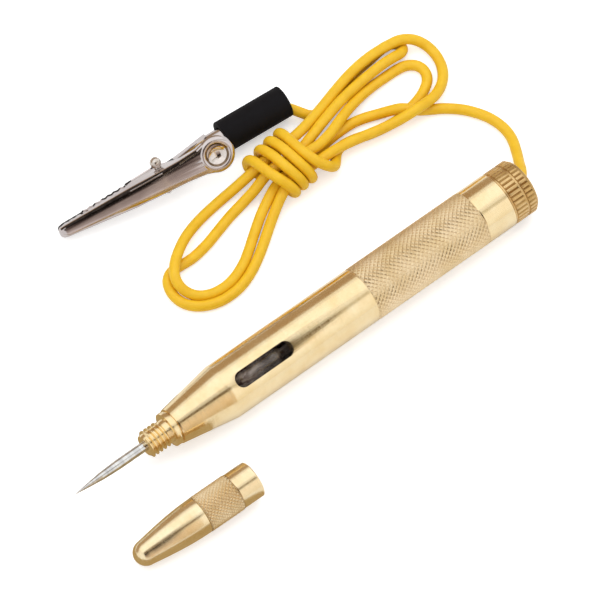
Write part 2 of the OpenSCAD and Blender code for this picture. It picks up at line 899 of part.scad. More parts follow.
color(brass) barrel();
color(steel) needle();
color(brass) nose_cap();
color(brass) end_cap();
color("#dfe7ee", 0.35) lamp_glass();
color(bright_brass) lamp_base();
color(black) lamp_insulator();
color(steel) lamp_contact();
color("#dfe7ee", 0.35) lamp_stem();
color(steel) lamp_posts();
color("#8c8a88") lamp_filament();
color(bright_brass) lamp_holder();
color(bright_brass) contact_plunger();
color(steel) contact_spring();
color("#e8e2d2") insulating_liner();
color(bright_brass) lead_terminal();
color(black) rear_plug();
color(yellow) lead_run();
color(yellow) lead_upper_loops();
color(yellow) lead_wraps();
color(yellow) lead_lower_loops();
color(yellow) lead_tail();
color(steel) clip_lower_jaw();
color(steel) clip_upper_jaw();
color(steel) clip_pin();
color(steel) clip_spring();
color(black) clip_sleeve();
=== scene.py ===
# Test light: a brass barrel with a lamp and a needle, its nose cap taken off,
# and a yellow lead that ends in a spring clip
import math

import bpy
from mathutils import Matrix, Vector


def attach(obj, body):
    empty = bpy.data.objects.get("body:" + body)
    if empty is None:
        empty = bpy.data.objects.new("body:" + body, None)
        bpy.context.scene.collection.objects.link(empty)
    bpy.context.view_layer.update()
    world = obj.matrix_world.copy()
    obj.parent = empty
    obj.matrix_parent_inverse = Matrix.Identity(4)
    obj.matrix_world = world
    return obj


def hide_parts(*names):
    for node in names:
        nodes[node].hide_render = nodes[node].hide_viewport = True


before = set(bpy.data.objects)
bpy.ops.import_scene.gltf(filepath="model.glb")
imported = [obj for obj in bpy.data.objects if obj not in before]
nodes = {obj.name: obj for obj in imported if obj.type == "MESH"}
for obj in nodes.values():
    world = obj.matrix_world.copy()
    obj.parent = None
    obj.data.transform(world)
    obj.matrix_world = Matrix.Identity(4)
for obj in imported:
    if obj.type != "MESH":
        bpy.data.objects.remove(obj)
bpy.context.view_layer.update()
print("stage: frame loaded")

mm = 0.001
axisPlace = (0.0, 8.5 * mm, 6.4 * mm)  # the light's own axis lies along X through this point

# Camera at the photograph's viewing angle, far off with a long lens
view = {
    "target": (7.74, 18.29, 0.4), "across": 124.2, "sensor": 36.0,  # mm
    "azimuth": -38.7, "elevation": 60.0,  # degrees
    "distance": 3.0, "near": 0.1, "far": 20.0,  # m
}
bpy.ops.object.select_all(action="DESELECT")
turn, rise = math.radians(view["azimuth"]), math.radians(view["elevation"])
back = Vector((math.sin(turn) * math.cos(rise), -math.cos(turn) * math.cos(rise), math.sin(rise)))
bpy.ops.object.camera_add(location=Vector(view["target"]) * mm + back * view["distance"])
camera = bpy.context.object
camera.name = "photoCamera"
camera.rotation_euler = (-back).to_track_quat("-Z", "Y").to_euler()
camera.data.sensor_width = view["sensor"]
camera.data.lens = view["sensor"] * view["distance"] / (view["across"] * mm)
camera.data.clip_start, camera.data.clip_end = view["near"], view["far"]
bpy.context.scene.camera = camera
bpy.context.scene.view_settings.view_transform = "Standard"
print("stage: camera")

# The lead: out of the end cap, through the tied hank and into the clip's sleeve, in mm
lead = {"diameter": 2.3, "length": 614.0, "stepsAlong": 4, "stepsRound": 5}
leadRoute = [
    (56.56, 8.39, 6.3), (59.3, 9.48, 6.49), (61.18, 11.48, 5.38), (62.51, 13.74, 3.92),
    (64.39, 16.92, 2.36), (66.03, 20.44, 1.44), (66.48, 23.38, 1.17), (66.04, 26.34, 1.15),
    (64.91, 29.12, 1.15), (62.65, 32.42, 1.18), (59.75, 35.15, 1.15), (57.22, 36.69, 1.35),
    (54.69, 37.75, 2.37), (53.21, 38.68, 3.23), (51.75, 39.92, 3.26), (50.36, 41.08, 2.42),
    (47.95, 42.6, 1.41), (45.17, 43.73, 1.19), (42.21, 44.26, 1.36), (38.23, 44.11, 1.76),
    (34.32, 43.48, 2.34), (30.43, 42.74, 2.96), (26.48, 42.24, 3.44), (22.47, 42.05, 3.42),
    (19.56, 41.34, 3.18), (16.81, 40.18, 2.78), (13.33, 38.39, 1.94), (10.02, 36.28, 1.24),
    (6.77, 33.96, 1.15), (3.38, 31.83, 1.15), (-0.34, 30.4, 1.21), (-3.32, 30.06, 1.24),
    (-6.26, 30.55, 1.32), (-8.83, 31.98, 1.72), (-10.33, 34.37, 2.55), (-10.19, 37.18, 3.36),
    (-8.45, 39.57, 3.57), (-6.15, 41.48, 3.29), (-2.8, 43.57, 2.63), (0.82, 45.12, 1.88),
    (4.63, 46.18, 1.29), (8.58, 46.8, 1.17), (12.52, 46.97, 1.77), (16.31, 46.89, 3.1),
    (20.09, 46.93, 4.39), (24.06, 47.12, 4.77), (28.04, 47.48, 4.75), (31.98, 48.07, 4.56),
    (35.8, 49.12, 4.06), (39.61, 50.29, 3.64), (43.43, 51.48, 3.5), (47.3, 52.5, 3.53),
    (51.24, 53.21, 3.61), (55.23, 53.51, 3.58), (59.23, 53.32, 3.49), (62.2, 52.8, 3.44),
    (64.76, 51.51, 2.56), (66.3, 49.12, 1.62), (66.54, 46.17, 1.19), (65.72, 43.29, 1.16),
    (64.02, 40.86, 1.5), (61.75, 39.04, 2.24), (59.09, 37.83, 3.09), (55.27, 37.05, 4.45),
    (52.21, 37.1, 4.49), (49.29, 37.69, 3.71), (45.35, 38.51, 3.37), (41.42, 39.38, 3.43),
    (37.48, 40.05, 3.67), (33.51, 40.25, 4.08), (29.53, 40.06, 4.44), (25.54, 40.17, 4.47),
    (22.56, 39.92, 4.22), (19.8, 39.05, 3.51), (17.22, 37.83, 2.54), (13.88, 35.82, 1.61),
    (10.58, 33.58, 1.21), (7.23, 31.39, 1.15), (3.72, 29.46, 1.15), (-0.05, 28.12, 1.16),
    (-4.03, 27.8, 1.21), (-6.98, 28.38, 1.2), (-9.64, 29.77, 1.16), (-11.61, 32, 1.15),
    (-12.29, 34.89, 1.15), (-11.6, 37.78, 1.16), (-10.33, 39.28, 1.16), (-8.47, 39.9, 1.15),
    (-6.48, 39.81, 1.15), (-3.48, 39.69, 1.18), (0.47, 40.32, 1.19), (4.32, 41.42, 1.15),
    (8.16, 42.54, 1.15), (12.09, 43.27, 1.49), (15.93, 43.71, 2.66), (19.52, 44.21, 4.5),
    (22.34, 44.07, 5.53), (25.31, 43.53, 5.56), (28.27, 42.94, 5.47), (32.25, 42.83, 4.95),
    (36.1, 43.77, 4.34), (39.77, 45.25, 3.65), (43.41, 46.72, 2.85), (47.2, 47.81, 2.13),
    (51.12, 48.46, 1.62), (55.1, 48.67, 1.26), (58.11, 48.61, 1.16), (60.06, 48.2, 1.15),
    (61.65, 47.04, 1.15), (62.3, 45.21, 1.15), (61.77, 43.33, 1.15), (60.39, 41.9, 1.15),
    (57.75, 40.49, 1.15), (54.86, 39.71, 1.15), (50.9, 39.07, 1.15), (47.9, 39.2, 1.15),
    (43.97, 39.93, 1.16), (40.12, 41.06, 1.17), (37.17, 41.37, 1.15), (35.39, 40.61, 1.33),
    (34.08, 39.26, 1.91), (32.38, 37.5, 3.57), (31.1, 37.19, 5.02), (29.81, 37.82, 6.34),
    (28.78, 39.25, 7.24), (27.89, 42.06, 7.75), (27.55, 45.05, 7.63), (27.54, 47.99, 6.95),
    (27.61, 49.64, 5.85), (27.65, 50.43, 4.09), (27.62, 49.82, 2.29), (27.53, 48.13, 1.33),
    (27.41, 46.15, 1.15), (27.2, 43.12, 1.15), (27.09, 40.16, 1.62), (27, 38.57, 2.83),
    (26.7, 37.98, 4.67), (26.23, 38.89, 6.33), (25.77, 40.62, 7.28), (25.4, 42.56, 7.75),
    (25.05, 45.57, 7.72), (24.85, 48.39, 6.74), (24.8, 49.77, 5.33), (24.79, 50.11, 3.44),
    (24.79, 49.08, 1.84), (24.76, 47.23, 1.2), (24.71, 45.23, 1.15), (24.64, 42.21, 1.17),
    (24.63, 40.24, 1.52), (24.58, 38.57, 2.58), (24.31, 37.84, 4.35), (23.79, 38.54, 6.08),
    (23.22, 40.13, 7.15), (22.79, 42.02, 7.68), (22.39, 45.01, 7.72), (22.11, 47.86, 6.81),
    (21.98, 49.3, 5.47), (21.95, 49.7, 3.59), (22.04, 48.74, 1.94), (22.23, 46.93, 1.22),
    (22.35, 44.93, 1.15), (22.18, 41.9, 1.15), (22.2, 39.91, 1.47), (22.23, 38.2, 2.49),
    (21.91, 37.53, 4.27), (21.21, 38.37, 5.9), (20.4, 39.95, 6.85), (19.66, 41.77, 7.33),
    (19, 44.71, 7.37), (18.77, 47.55, 6.48), (18.63, 48.94, 5.11), (18.5, 49.19, 3.23),
    (18.79, 47.95, 1.88), (19.74, 46.32, 2.01), (21.11, 45.28, 2.98), (22.93, 44.68, 3.42),
    (25.86, 44.44, 3.53), (28.78, 44.65, 3.92), (32.56, 45.72, 4.21), (36.36, 46.91, 4.14),
    (40.18, 48.09, 3.92), (44.05, 49.09, 3.65), (47.99, 49.8, 3.43), (51.96, 50.29, 3.33),
    (55.97, 50.55, 3.28), (58.96, 50.62, 2.84), (60.83, 50.84, 2.15), (62.11, 51.96, 1.33),
    (61.67, 53.71, 1.15), (59.9, 54.49, 1.15), (57.9, 54.46, 1.15), (54.92, 54.04, 1.17),
    (50.93, 53.57, 1.17), (47.07, 52.52, 1.15), (43.28, 51.22, 1.15), (40.37, 50.51, 1.15),
    (38.39, 50.44, 1.26), (36.62, 51.14, 1.68), (35.37, 52.51, 2.35), (33.5, 54.59, 3.34),
    (30.92, 55.98, 3.86), (27.99, 56.6, 3.88), (25, 56.89, 3.72), (23.01, 57.1, 3.68),
]


def drawLead():
    curve = bpy.data.curves.new("yellow_lead_cord", "CURVE")
    obj = bpy.data.objects.new("yellow_lead_cord", curve)
    bpy.context.collection.objects.link(obj)
    line = curve.splines.new("BEZIER")
    line.bezier_points.add(len(leadRoute) - 1)
    stops = [Vector(place) * mm for place in leadRoute]
    for i, spot in enumerate(line.bezier_points):
        before, here, after = stops[max(i - 1, 0)], stops[i], stops[min(i + 1, len(stops) - 1)]
        along = (after - before).normalized()
        spot.handle_left_type = spot.handle_right_type = "FREE"
        spot.co = here
        spot.handle_left = here - along * (here - before).length / 3
        spot.handle_right = here + along * (after - here).length / 3
        spot.radius = lead["diameter"] / 2 * mm
    curve.dimensions = "3D"
    curve.resolution_u = curve.render_resolution_u = lead["stepsAlong"]
    curve.bevel_depth = 1.0  # each point's own radius sets the thickness
    curve.bevel_resolution = lead["stepsRound"]
    curve.use_fill_caps = True
    return obj


leadCord = drawLead()
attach(leadCord, "light")
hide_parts("lead_run", "lead_upper_loops", "lead_wraps", "lead_lower_loops", "lead_tail")
print("stage: lead")


# Finishes
def linear(code):
    parts = [int(code[i:i + 2], 16) / 255 for i in (1, 3, 5)]
    return tuple(p / 12.92 if p <= 0.04045 else ((p + 0.055) / 1.055) ** 2.4 for p in parts) + (1.0,)


# A setting is one of the node's own or an input's, a link's key is an input's name or number
def addNode(tree, kind, settings=None, links=None):
    node = tree.nodes.new("ShaderNode" + kind)
    for key, value in (settings or {}).items():
        if hasattr(node, str(key)):
            setattr(node, key, value)
        else:
            node.inputs[key].default_value = value
    for key, socket in (links or {}).items():
        tree.links.new(socket, node.inputs[key])
    return node


def newMaterial(name, color, metallic=0.0, roughness=0.4, **more):
    mat = bpy.data.materials.new(name)
    mat.use_nodes = True
    shader = mat.node_tree.nodes["Principled BSDF"]
    shader.inputs["Base Color"].default_value = linear(color)
    shader.inputs["Metallic"].default_value = metallic
    shader.inputs["Roughness"].default_value = roughness
    for key, value in more.items():
        shader.inputs[key.replace("_", " ")].default_value = value
    mat.diffuse_color = linear(color)
    return mat, mat.node_tree, shader


# Uneven colour, and gloss and relief where asked, in patches of the given size in mm
def mottle(tree, shader, low, high, size, stretch=(1, 1, 1), contrast=(0.35, 0.65), rough=None, bump=None):
    where = addNode(tree, "TexCoord")
    spread = addNode(tree, "Mapping", {"Scale": stretch}, {"Vector": where.outputs["Object"]})
    noise = addNode(tree, "TexNoise", {"Scale": 1 / (size * mm), "Detail": 4.0, "Roughness": 0.6},
                    {"Vector": spread.outputs["Vector"]})
    ramp = addNode(tree, "ValToRGB", links={"Fac": noise.outputs["Fac"]})
    for stop, position, color in zip(ramp.color_ramp.elements, contrast, (low, high)):
        stop.position = position
        stop.color = linear(color)
    tree.links.new(ramp.outputs["Color"], shader.inputs["Base Color"])
    if rough:
        gloss = addNode(tree, "MapRange", {"To Min": rough[0], "To Max": rough[1]},
                        {"Value": noise.outputs["Fac"]})
        tree.links.new(gloss.outputs["Result"], shader.inputs["Roughness"])
    if bump:
        relief = addNode(tree, "Bump", {"Strength": bump[0], "Distance": bump[1] * mm},
                         {"Height": noise.outputs["Fac"]})
        tree.links.new(relief.outputs["Normal"], shader.inputs["Normal"])


# Turned brass: bright straw yellow with fine tool lines round the axis and a faint uneven tarnish
toolLines = {"stretch": (1.0, 0.02, 0.02), "spread": (0.35, 0.65), "gloss": (0.8, 1.35),
             "strength": 0.25, "depth": 0.01}
tarnish = {"size": 6.0, "contrast": (0.3, 0.62)}


def turnedBrass(name, color, stain, roughness, lineSize):
    mat, tree, shader = newMaterial(name, color, 1.0, roughness)
    mottle(tree, shader, stain, color, **tarnish)
    where = addNode(tree, "TexCoord")
    lines = addNode(tree, "Mapping", {"Scale": toolLines["stretch"]}, {"Vector": where.outputs["Object"]})
    tool = addNode(tree, "TexNoise", {"Scale": 1 / (lineSize * mm), "Detail": 3.0},
                   {"Vector": lines.outputs["Vector"]})
    (fine, coarse), (glossy, dull) = toolLines["spread"], toolLines["gloss"]
    gloss = addNode(tree, "MapRange", {"From Min": fine, "From Max": coarse,
                                       "To Min": roughness * glossy, "To Max": roughness * dull},
                    {"Value": tool.outputs["Fac"]})
    tree.links.new(gloss.outputs["Result"], shader.inputs["Roughness"])
    relief = addNode(tree, "Bump", {"Strength": toolLines["strength"], "Distance": toolLines["depth"] * mm},
                     {"Height": tool.outputs["Fac"]})
    tree.links.new(relief.outputs["Normal"], shader.inputs["Normal"])
    return mat


# Brass bar turned with a fine feed: pale, clean and glossy
barrelBrass = turnedBrass("turned_brass_barrel", "#f7e3b8", "#efd4a0", 0.17, 0.16)
# Cut knurl on brass: bare and bright on its points, so its colour deepens only where
# the light bounces in the grooves
knurlBrass = turnedBrass("knurled_brass_grip", "#f0dab4", "#e2c898", 0.38, 0.4)
# The cap's brass has closer tool lines and a softer gloss
capBrass = turnedBrass("turned_brass_cap", "#f8e6bf", "#eed4a4", 0.2, 0.14)
# The end cap is handled most: deeper yellow and duller on its ridges
endBrass = turnedBrass("fluted_brass_end", "#e4c591", "#caa468", 0.26, 0.2)
# The flanks of the flutes: a browner, duller brass
fluteBrass = turnedBrass("brown_brass_flute_flank", "#c8a268", "#ac8850", 0.38, 0.2)
# Painted shade in the bore: dark brown brass that hardly reflects
boreShadeBrass, tree, shader = newMaterial("bore_brass_painted_shade", "#3e2c22", 0.4, 0.5)
mottle(tree, shader, "#291b14", "#503a2c", 1.2, rough=(0.4, 0.6))
# Ground steel, chrome plated: near white mirror with very fine grinding lines
needleChrome, tree, shader = newMaterial("ground_steel_needle", "#d6d6d6", 1.0, 0.12)
mottle(tree, shader, "#c2c2c2", "#e2e2e0", 0.8, (1, 0.05, 0.05), rough=(0.09, 0.17))
# Nickel plate on rolled sheet steel: warm grey with a mauve cast, soft reflections and fine rolling marks
clipNickel, tree, shader = newMaterial("nickel_plated_clip", "#c9c0bd", 1.0, 0.14)
mottle(tree, shader, "#bfb5b3", "#d2cac8", 3.0, (0.4, 1, 1), (0.3, 0.7), rough=(0.11, 0.17))
# The same plate where the press polished it: a clear small mirror
dishNickel, tree, shader = newMaterial("polished_nickel_dish", "#d8cfc8", 1.0, 0.06)
mottle(tree, shader, "#cfc5bd", "#e0d8d2", 1.5, rough=(0.05, 0.09))
# Painted shade at the foot of the dish's wall: a dark brown ring of nickel
dishWallShade, tree, shader = newMaterial("dish_wall_painted_shade", "#7a6656", 1.0, 0.2)
mottle(tree, shader, "#66533f", "#8e7a68", 1.0, rough=(0.16, 0.26))
# Painted shade between the jaws, on the edges of their far flanks: near black steel
flankShadeSteel, tree, shader = newMaterial("jaw_flank_painted_shade", "#1c1714", 0.5, 0.5)
mottle(tree, shader, "#120e0c", "#2a231f", 0.6, rough=(0.4, 0.6))
# Painted dark reflection along the jaw's long bend: smoky, nearly black nickel
bendReflectionNickel, tree, shader = newMaterial("jaw_bend_painted_reflection", "#2c2522", 1.0, 0.25)
mottle(tree, shader, "#1d1816", "#3d3531", 0.8, (0.3, 1, 1), rough=(0.2, 0.32))
# Nickel plate on the pin: paler than the sheet, and as bright all round
pinNickel, tree, shader = newMaterial("nickel_plated_pin", "#d5cdc4", 1.0, 0.14)
mottle(tree, shader, "#c0b5aa", "#ddd6cf", 1.0, rough=(0.1, 0.2))
# Drawn spring wire, not plated: plain grey with a dull, blotchy sheen
springSteel, tree, shader = newMaterial("drawn_spring_steel", "#8f8a86", 1.0, 0.3)
mottle(tree, shader, "#6f6a67", "#a7a29d", 0.5, rough=(0.22, 0.4))
# Soft black vinyl, dip moulded: nearly matt, its colour and its surface slightly uneven
blackVinyl, tree, shader = newMaterial("black_vinyl_sleeve", "#09070a", 0.0, 0.75, Specular_IOR_Level=0.2)
mottle(tree, shader, "#070508", "#0c0a0e", 1.5, rough=(0.7, 0.82), bump=(0.25, 0.03))
# Extruded soft PVC: even warm yellow, satin, slightly uneven, with a little light carried inside
yellowPvc, tree, shader = newMaterial("yellow_pvc_insulation", "#eebe1e", 0.0, 0.45,
                                      Specular_IOR_Level=0.3, Subsurface_Weight=0.08,
                                      Subsurface_Radius=(0.0012, 0.0007, 0.0002), Subsurface_Scale=1.0)
mottle(tree, shader, "#ebb91a", "#f1c224", 2.5, rough=(0.36, 0.5), bump=(0.15, 0.02))
# Blown glass, slightly wavy: milky and greyed at its tip, clearer towards its base
lampClearing = {"tip": -17.5, "base": -9.5, "tipClear": 0.22, "baseClear": 0.82}
lampGlass, tree, shader = newMaterial("blown_lamp_glass", "#a8948a", 0.0, 0.03,
                                      Transmission_Weight=0.72, IOR=1.5)
mottle(tree, shader, "#66504a", "#e2d6cf", 1.3, (0.3, 1, 1), (0.38, 0.62), bump=(0.3, 0.06))
where = addNode(tree, "TexCoord")
split = addNode(tree, "SeparateXYZ", links={"Vector": where.outputs["Object"]})
clearing = addNode(tree, "MapRange",
                   {"From Min": lampClearing["tip"] * mm, "From Max": lampClearing["base"] * mm,
                    "To Min": lampClearing["tipClear"], "To Max": lampClearing["baseClear"]},
                   {"Value": split.outputs["X"]})
tree.links.new(clearing.outputs["Result"], shader.inputs["Transmission Weight"])
# Sheet brass rolled to the lamp's screw base: duller and deeper than turned bar
lampBrass = turnedBrass("rolled_brass_lamp_base", "#e3c48a", "#c9a468", 0.28, 0.3)
# Contact brass, never polished: the deepest and dullest yellow
contactBrass = turnedBrass("stamped_brass_contact", "#dcb878", "#bf9858", 0.32, 0.3)
# Tin-lead solder: dull silver dome with frosted patches
solderTin, tree, shader = newMaterial("lamp_solder", "#b9b9b6", 1.0, 0.35)
mottle(tree, shader, "#9d9d9b", "#c9c9c6", 0.4, rough=(0.25, 0.5))
# Tungsten and its nickel posts: dark grey wire
lampWire, tree, shader = newMaterial("drawn_lamp_wire", "#77726e", 1.0, 0.35)
mottle(tree, shader, "#5f5b58", "#8d8884", 0.3, rough=(0.28, 0.42))
# Phenolic moulding: black-brown, hard, semi-gloss
blackMoulding, tree, shader = newMaterial("black_phenolic_insulator", "#1d1815", 0.0, 0.35)
mottle(tree, shader, "#17120f", "#262019", 0.8, rough=(0.3, 0.45))
# Natural polyethylene liner: milky white and waxy
linerPlastic, tree, shader = newMaterial("milky_polyethylene_liner", "#e6e4dc", 0.0, 0.45)
mottle(tree, shader, "#dddbd2", "#ecebe4", 1.5, rough=(0.4, 0.52))
print("stage: finishes")

nodeFinish = {
    "needle": needleChrome, "lamp_glass": lampGlass, "lamp_base": lampBrass, "lamp_insulator": blackMoulding,
    "lamp_contact": solderTin, "lamp_stem": lampGlass, "lamp_posts": lampWire, "lamp_filament": lampWire,
    "lamp_holder": lampBrass, "contact_plunger": contactBrass, "contact_spring": springSteel,
    "insulating_liner": linerPlastic, "lead_terminal": contactBrass, "rear_plug": blackMoulding,
    "clip_pin": pinNickel, "clip_spring": springSteel, "barrel": barrelBrass, "nose_cap": capBrass,
    "end_cap": endBrass, "clip_lower_jaw": clipNickel, "clip_upper_jaw": clipNickel,
    "clip_sleeve": blackVinyl, "lead_run": yellowPvc, "lead_upper_loops": yellowPvc,
    "lead_wraps": yellowPvc, "lead_lower_loops": yellowPvc, "lead_tail": yellowPvc,
}
for name, finish in nodeFinish.items():
    nodes[name].data.materials.clear()
    nodes[name].data.materials.append(finish)
leadCord.data.materials.append(yellowPvc)


# Tools for the pieces
def pickOnly(obj):
    bpy.ops.object.select_all(action="DESELECT")
    obj.select_set(True)
    bpy.context.view_layer.objects.active = obj


def nameIt(name):
    obj = bpy.context.object
    obj.name = obj.data.name = name
    return obj


# Selects vertices, edges or faces in edit mode by a test on each
def pickParts(obj, kind, test):
    pickOnly(obj)
    bpy.ops.object.mode_set(mode="EDIT")
    bpy.ops.mesh.select_mode(type=kind)
    bpy.ops.mesh.select_all(action="DESELECT")
    bpy.ops.object.mode_set(mode="OBJECT")
    for part in {"VERT": obj.data.vertices, "EDGE": obj.data.edges, "FACE": obj.data.polygons}[kind]:
        part.select = bool(test(part))
    bpy.ops.object.mode_set(mode="EDIT")


# Adds one more finish and gives it to the faces that pass the test
def paintFaces(obj, finish, test):
    obj.data.materials.append(finish)
    for face in obj.data.polygons:
        if test(face):
            face.material_index = len(obj.data.materials) - 1


def applyModifier(obj, kind, **settings):
    pickOnly(obj)
    mod = obj.modifiers.new(kind.lower(), kind)
    for key, value in settings.items():
        setattr(mod, key, value)
    bpy.ops.object.modifier_apply(modifier=mod.name)


def settle(obj):
    pickOnly(obj)
    bpy.ops.object.transform_apply(location=True, rotation=True, scale=True)


def joinInto(obj, *others):
    pickOnly(obj)
    for other in others:
        other.select_set(True)
    bpy.ops.object.join()


def turnBy(degrees, axis):
    return Matrix.Rotation(math.radians(degrees), 4, axis)


def moveBy(x, y, z):
    return Matrix.Translation((x * mm, y * mm, z * mm))


weld = 1e-6  # in m: vertices nearer than this are one
level = 1e-5  # in m: an edge whose ends differ less than this runs round the axis
pole = 0.001  # in mm: the radius where a profile meets its axis, closed by the weld


# A point is drawn along a profile of (x, radius) in mm and spun round the X axis
def turnProfile(name, profile, steps):
    bpy.ops.object.select_all(action="DESELECT")
    bpy.ops.mesh.primitive_plane_add(size=mm)
    obj = nameIt(name)
    bpy.ops.object.mode_set(mode="EDIT")
    bpy.ops.mesh.select_mode(type="VERT")
    bpy.ops.mesh.select_all(action="SELECT")
    bpy.ops.mesh.merge(type="CENTER")
    x, r = profile[0]
    bpy.ops.transform.translate(value=(x * mm, 0, r * mm))
    for a, b in zip(profile, profile[1:] + profile[:1]):
        step = ((b[0] - a[0]) * mm, 0, (b[1] - a[1]) * mm)
        bpy.ops.mesh.extrude_vertices_move(TRANSFORM_OT_translate={"value": step})
    bpy.ops.mesh.select_all(action="SELECT")
    bpy.ops.mesh.remove_doubles(threshold=weld)
    bpy.ops.mesh.spin(steps=steps, angle=2 * math.pi, center=(0, 0, 0), axis=(1, 0, 0))
    bpy.ops.mesh.select_all(action="SELECT")
    bpy.ops.mesh.remove_doubles(threshold=weld)
    bpy.ops.mesh.normals_make_consistent(inside=False)
    bpy.ops.object.mode_set(mode="OBJECT")
    return obj


# Small rounded edges, of the given width in mm, where two faces meet at more than 30 degrees
def softenEdges(obj, width, segments=2):
    applyModifier(obj, "BEVEL", width=width * mm, segments=segments, limit_method="ANGLE",
                  angle_limit=math.radians(30))


def smoothShade(obj, angle=35):
    pickOnly(obj)
    bpy.ops.object.shade_smooth_by_angle(angle=math.radians(angle))


# Diamond knurl: a tube cut into rows, every second row turned half a step,
# and each diamond raised to a small blunt pyramid
def knurlTube(name, start, end, radius, columns, rows, inset, rise):
    length, middle = (end - start) * mm, (start + end) / 2 * mm
    bpy.ops.object.select_all(action="DESELECT")
    bpy.ops.mesh.primitive_cylinder_add(vertices=columns, radius=radius * mm, depth=length,
                                        end_fill_type="NOTHING", location=(middle, 0, 0),
                                        rotation=(0, math.pi / 2, 0))
    obj = nameIt(name)
    settle(obj)
    mesh = obj.data
    pitch = length / rows

    def endsAlong(edge):
        return [mesh.vertices[i].co.x for i in edge.vertices]

    def runsAlong(edge):
        a, b = endsAlong(edge)
        return abs(a - b) > level

    def withinRing(edge):
        a, b = endsAlong(edge)
        return abs(a - b) < level and start * mm + pitch / 2 < a < end * mm - pitch / 2

    pickParts(obj, "EDGE", runsAlong)
    bpy.ops.mesh.subdivide(number_cuts=rows - 1)
    bpy.ops.object.mode_set(mode="OBJECT")
    pickParts(obj, "VERT", lambda v: round((v.co.x - start * mm) / pitch) % 2 == 1)
    bpy.ops.transform.rotate(value=math.pi / columns, orient_axis="X", orient_type="GLOBAL",
                             center_override=(0, 0, 0))
    bpy.ops.mesh.select_all(action="SELECT")
    bpy.ops.mesh.quads_convert_to_tris(quad_method="SHORTEST_DIAGONAL")
    bpy.ops.object.mode_set(mode="OBJECT")
    pickParts(obj, "EDGE", withinRing)
    bpy.ops.mesh.dissolve_edges(use_verts=False)
    bpy.ops.mesh.select_mode(type="FACE")
    bpy.ops.mesh.select_all(action="SELECT")
    bpy.ops.mesh.normals_make_consistent(inside=False)
    bpy.ops.mesh.inset(thickness=inset * mm, depth=rise * mm, use_individual=True)
    bpy.ops.object.mode_set(mode="OBJECT")
    return obj


# Barrel: one turned bar with the nose, its bore, the viewing window and the knurled grip
barrel = {
    "steps": 96, "edge": 0.07,
    "outline": [
        (-41, 1.07), (-41, 2.3), (-40.46, 2.5), (-36.4, 2.5),  # the thread's core
        (-36.2, 2.7), (-35, 2.7), (-35, 3.9), (-34, 3.9), (-34, 3.6), (-33.6, 3.6),  # neck and collar
        (-33.6, 4.1), (-33.2, 4.166), (-21.0, 6.184), (-20.6, 6.25),  # cone
        (-20.2, 6.25), (15.7, 6.25), (16.0, 6.25), (16.2, 6.12),  # plain stretch round the window
        (45.6, 6.12), (45.8, 6.25), (46.1, 6.25), (52.2, 6.25), (52.45, 6.25), (52.6, 6.1),  # grip, rear band
        (52.6, 4.8), (47.6, 4.8), (47.1, 4.5), (-20.2, 4.5), (-22.9, 1.07),  # bore, back to the needle's hole
    ],
    "bore": {"front": -30.0, "rear": 52.0, "radius": 5.0},  # what lies within these limits is bore
    "thread": {"start": -40.75, "pitch": 1.0, "turns": 4.4, "steps": 40,
               "foot": (0.4, 2.44), "crest": (0.07, 3.0)},
    "window": {"front": -19.0, "rear": -4.3, "radius": 1.8, "roll": -26.0, "height": 6.0, "depth": 8.0,
               "sides": 48},
    "grip": {"start": 16.2, "end": 45.6, "radius": 6.13, "columns": 34, "rows": 53,
             "inset": 0.25, "rise": 0.14},
}


# A round cutter, drawn out along the barrel to a slot with round ends, is taken out of the wall
def cutWindow(obj):
    w = barrel["window"]
    r = w["radius"]
    bpy.ops.object.select_all(action="DESELECT")
    bpy.ops.mesh.primitive_cylinder_add(vertices=w["sides"], radius=r * mm, depth=w["depth"] * mm,
                                        location=((w["front"] + r) * mm, 0, w["height"] * mm))
    cutter = nameIt("window_cutter")
    settle(cutter)
    pickParts(cutter, "VERT", lambda v: v.co.x > (w["front"] + r + 0.01) * mm)
    bpy.ops.transform.translate(value=((w["rear"] - w["front"] - 2 * r) * mm, 0, 0))
    bpy.ops.object.mode_set(mode="OBJECT")
    cutter.rotation_euler = (math.radians(-w["roll"]), 0, 0)
    settle(cutter)
    applyModifier(obj, "BOOLEAN", operation="DIFFERENCE", object=cutter, solver="EXACT")
    bpy.data.objects.remove(cutter)


# Nose thread: one ridge section carried round and along by the Screw modifier
def noseThread():
    t = barrel["thread"]
    (foot, footRadius), (crest, crestRadius) = t["foot"], t["crest"]
    corners = ((-foot, footRadius), (foot, footRadius), (-crest, crestRadius), (crest, crestRadius))
    steps = int(t["steps"] * t["turns"])
    bpy.ops.object.select_all(action="DESELECT")
    bpy.ops.mesh.primitive_plane_add(size=1)
    obj = nameIt("thread_ridge")
    for v, (x, radius) in zip(obj.data.vertices, corners):
        v.co = ((t["start"] + x) * mm, 0, radius * mm)
    bpy.ops.object.mode_set(mode="EDIT")
    bpy.ops.mesh.select_all(action="SELECT")
    bpy.ops.mesh.delete(type="ONLY_FACE")
    bpy.ops.object.mode_set(mode="OBJECT")
    applyModifier(obj, "SCREW", axis="X", angle=2 * math.pi * t["turns"], steps=steps, render_steps=steps,
                  screw_offset=t["pitch"] * t["turns"] * mm, iterations=1, use_normal_calculate=True)
    return obj


def inBore(face):
    middle, bore = face.center, barrel["bore"]
    outward = face.normal.y * middle.y + face.normal.z * middle.z
    near = math.hypot(middle.y, middle.z) < bore["radius"] * mm
    return outward < 0 and near and bore["front"] * mm < middle.x < bore["rear"] * mm


